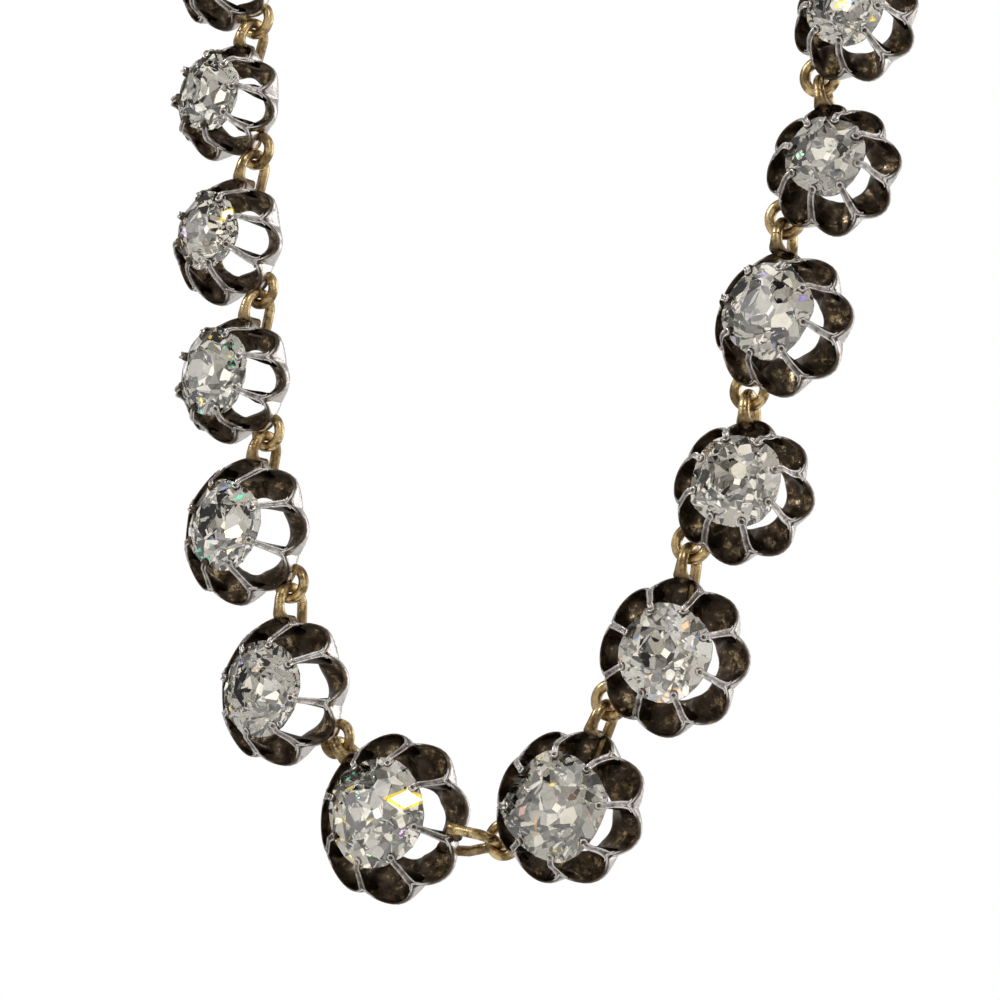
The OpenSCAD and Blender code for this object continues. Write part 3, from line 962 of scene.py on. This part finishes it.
for side in sides:
    collets, wires = Piece(f"collets_{side}_back"), Piece(f"wires_{side}_back")
    for k in range(frontCount + 1, frontCount + backCount + 1):
        s = stations[side, k]
        buildCollet(collets, s)
        buildRing(wires, s, ringCentre(side, k), False)
        buildBail(wires, s, nextRing(side, k), False)
    collets.finish(silverLook, "oxidised_silver", [f"{side}_back_settings"])
    wires.finish(goldLook, "gold_wire")
print("back strings built")

box = Piece("clasp_box")
buildClasp(box)
box.finish(claspLook, "clasp_silver", ["clasp"])
rings = Piece("clasp_rings")
for side in sides:
    buildRing(rings, stations[side, frontCount + backCount], nextRing(side, frontCount + backCount), False)
rings.finish(goldLook, "gold_wire")
print("clasp built")

for (side, k), s in stations.items():
    if s["front"] and (side, k) != ("left", 0):
        stone = Piece("diamond_centre" if k == 0 else f"diamond_{side}_{k}")
        buildStone(stone, s, (side, k))
        stone.finish(diamondLook, "diamond", ["centre_stone" if k == 0 else f"{side}_stone_{k}"], False)
for side in sides:
    stone = Piece(f"diamonds_{side}_back")
    for k in range(frontCount + 1, frontCount + backCount + 1):
        buildStone(stone, stations[side, k], (side, k))
    stone.finish(diamondLook, "diamond", [f"{side}_back_stones"], False)
print("stones dressed")


# Stage, light and camera

# The surroundings are plain and soft where they lie beside and behind the necklace, with
# patches and small coloured sparks for the facets; the lamps are direction, distance, size and power
studio = {
    "backdropAt": (-0.535, 0.823, 0.191), "patchScale": 7.0, "grainScale": 26.0, "sparkScale": 13.0, "spark": 5.0,
    "grey": 0.14, "white": 1.12, "grain": 0.16, "patch": (0.03, 0.92), "beside": 0.06, "behind": 0.12,
    "straight": 1.6, "tint": colour(1.0, 0.985, 0.965),
    "lamps": {
        "key": ((-0.543, -0.582, 0.605), 0.6, 0.16, 0.8),
        "fill": ((0.638, -0.51, 0.576), 0.8, 0.2, 0.6),
        "rear": ((0.6, 0.9, 0.2), 0.8, 0.8, 2.2),
    },
    "floorHeight": -0.27, "floorSize": 4.0,
}


def plane(name, centre, size, material):
    h = size / 2
    mesh = bpy.data.meshes.new(name)
    mesh.from_pydata([(-h, -h, 0), (h, -h, 0), (h, h, 0), (-h, h, 0)], [], [(0, 1, 2, 3)])
    mesh.materials.append(material)
    thing = bpy.data.objects.new(name, mesh)
    thing.location = centre
    bpy.context.scene.collection.objects.link(thing)


floorShader = Shader("floor", {"Base Color": colour(0.9, 0.9, 0.9), "Roughness": 0.8})
plane("floor", (0, 0, studio["floorHeight"]), studio["floorSize"], floorShader.material)

world = bpy.data.worlds.new("studio")
bpy.context.scene.world = world
world.use_nodes = True
sky = world.node_tree
sky.nodes.remove(sky.nodes["Background"])


def skyTexture(kind, scale, output, **values):
    values = {"Vector": direction, "Scale": scale, **values}
    return addNode(sky, kind, None, values, output)


direction = addNode(sky, "ShaderNodeTexCoord", output="Generated")
facing = addNode(sky, "ShaderNodeVectorMath", {"operation": "DOT_PRODUCT"},
                 {0: direction, 1: studio["backdropAt"]}, "Value")
patches = skyTexture("ShaderNodeTexNoise", studio["patchScale"], "Fac", Detail=1.5)
grain = skyTexture("ShaderNodeTexNoise", studio["grainScale"], "Fac", Detail=2.0)
patches = (patches.ramp(0.4, 0.5) * studio["grey"] + patches.ramp(0.54, 0.57) * studio["white"]
           + grain.ramp(0.4, 0.6) * studio["grain"])
beside, behind, straight = facing.ramp(-0.35, 0.25), facing.ramp(0.25, 0.75), facing.ramp(0.975, 0.99)
dim, full = studio["patch"]
light = (patches * (full - dim) + dim) * (1.0 - beside) + beside * (patches * 0.7 + studio["beside"])
light = light * (1.0 - behind) + behind * (patches * 0.85 + studio["behind"])
light = light * (1.0 - straight) + straight * studio["straight"]
near = skyTexture("ShaderNodeTexVoronoi", studio["sparkScale"], "Distance")
hue = skyTexture("ShaderNodeTexVoronoi", studio["sparkScale"], "Color")
rainbow = addNode(sky, "ShaderNodeCombineColor", {"mode": "HSV"}, {0: hue, 1: 0.75, 2: 1.0})
spark = 1.0 - near.ramp(0.06, 0.1)
glow = mixColours(sky, spark, studio["tint"], rainbow)
lit = addNode(sky, "ShaderNodeBackground", None, {"Color": glow, "Strength": light + spark * studio["spark"]})
seen = addNode(sky, "ShaderNodeBackground", None, {"Color": colour(1, 1, 1)})
straightOn = addNode(sky, "ShaderNodeLightPath", output="Is Camera Ray")
joined = addNode(sky, "ShaderNodeMixShader", None, {0: straightOn, 1: lit, 2: seen})
feed(sky, sky.nodes["World Output"].inputs["Surface"], joined)


def softbox(name, direction, distance, size, power):
    data = bpy.data.lights.new(name, "AREA")
    data.shape, data.size, data.energy = "SQUARE", size, power
    lamp = bpy.data.objects.new(name, data)
    aim = Vector(camera["aim"]) * mm
    lamp.location = aim + Vector(direction).normalized() * distance
    lamp.rotation_euler = (aim - lamp.location).to_track_quat("-Z", "Y").to_euler()
    lamp.visible_transmission = False
    bpy.context.scene.collection.objects.link(lamp)


for name, values in studio["lamps"].items():
    softbox(name, *values)
print("studio lit")

azimuth, elevation = math.radians(camera["azimuth"]), math.radians(camera["elevation"])
back = Vector((math.sin(azimuth), -math.cos(azimuth), 0)) * math.cos(elevation)
back.z = math.sin(elevation)
lensData = bpy.data.cameras.new("camera")
lensData.lens, lensData.sensor_width, lensData.clip_start = camera["lens"], camera["sensor"], 0.01
eye = bpy.data.objects.new("camera", lensData)
eye.location = (Vector(camera["aim"]) + back * camera["distance"]) * mm
eye.rotation_euler = (-back).to_track_quat("-Z", "Y").to_euler()
bpy.context.scene.collection.objects.link(eye)
bpy.context.scene.camera = eye
bpy.context.scene.view_settings.view_transform = "Standard"
